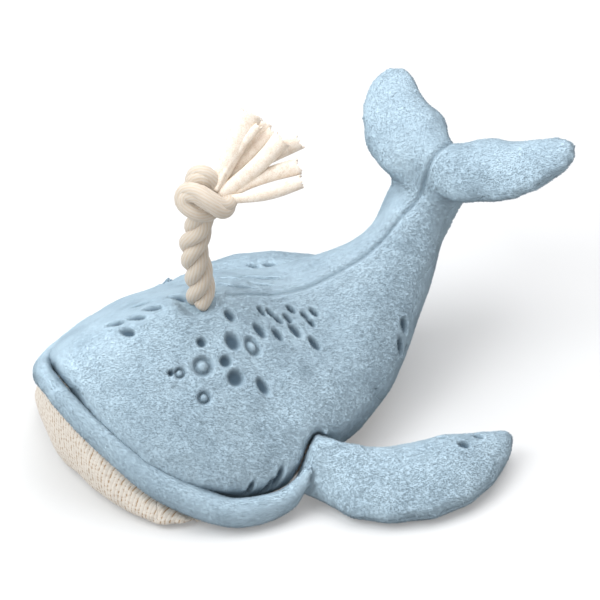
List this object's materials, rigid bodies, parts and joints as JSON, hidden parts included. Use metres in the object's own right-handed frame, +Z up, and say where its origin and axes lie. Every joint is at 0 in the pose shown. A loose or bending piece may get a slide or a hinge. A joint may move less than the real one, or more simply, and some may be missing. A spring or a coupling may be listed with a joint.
{
  "type": "plush whale toy",
  "caption": "Stuffed plush whale toy with a padded lip, ribbed knit jaw and belly, flippers, a lifting tail with flukes and a knotted rope spout.",
  "frame": {"origin": "on the ground under the middle of the box of the body without its rope spout", "axes": "+X to the snout, +Y to the whale's left, +Z up"},
  "size_m": [0.3108, 0.2344, 0.1876],
  "materials": {
    "plush": "short soft pile, dusty blue",
    "knit": "marled rib knit, cream",
    "filling": "loose polyester fibre",
    "rope": "three-strand twisted cotton, cream",
    "jersey": "cut cotton jersey strips, cream"
  },
  "bodies": {
    "trunk": {"back_panel": "plush", "jaw_panel": "knit", "belly_panel": "knit", "body_filling": "filling", "lip_roll": "plush", "spout_anchor": "rope"},
    "tail": {"tail_top_panel_left": "plush", "tail_top_panel_right": "plush", "tail_under_panel": "plush", "tail_filling": "filling"},
    "flipper_left": {"flipper_left_top_panel": "plush", "flipper_left_under_panel": "plush", "flipper_left_filling": "filling"},
    "flipper_right": {"flipper_right_top_panel": "plush", "flipper_right_under_panel": "plush", "flipper_right_filling": "filling"},
    "spout": {"spout_rope": "rope", "spout_knot": "rope", "tassel_strip_1": "jersey", "tassel_strip_2": "jersey", "tassel_strip_3": "jersey", "tassel_strip_4": "jersey", "tassel_strip_5": "jersey", "tassel_strip_6": "jersey", "tassel_strip_7": "jersey", "tassel_strip_8": "jersey"}
  },
  "joints": [
    {"name": "tail_lift", "type": "hinge", "parent": "trunk", "child": "tail", "pos_m": [-0.04427, -0.01944, 0.0455], "axis": [0, 1, 0], "range_deg": [-12, 15], "stiffness_Nm_per_rad": 0.5},
    {"name": "flipper_left_swing", "type": "hinge", "parent": "trunk", "child": "flipper_left", "pos_m": [0.03073, 0.06585, 0.0185], "axis": [0.5427, 0.3015, -0.7839], "range_deg": [0, 30], "stiffness_Nm_per_rad": 0.15},
    {"name": "flipper_right_swing", "type": "hinge", "parent": "trunk", "child": "flipper_right", "pos_m": [0.03073, -0.09216, 0.0185], "axis": [-0.2716, 0.5583, 0.7839], "range_deg": [0, 30], "stiffness_Nm_per_rad": 0.15},
    {"name": "spout_sway", "type": "hinge", "parent": "trunk", "child": "spout", "pos_m": [0.05873, -0.01316, 0.083], "axis": [0, 1, 0], "range_deg": [-20, 20], "stiffness_Nm_per_rad": 0.5}
  ]
}
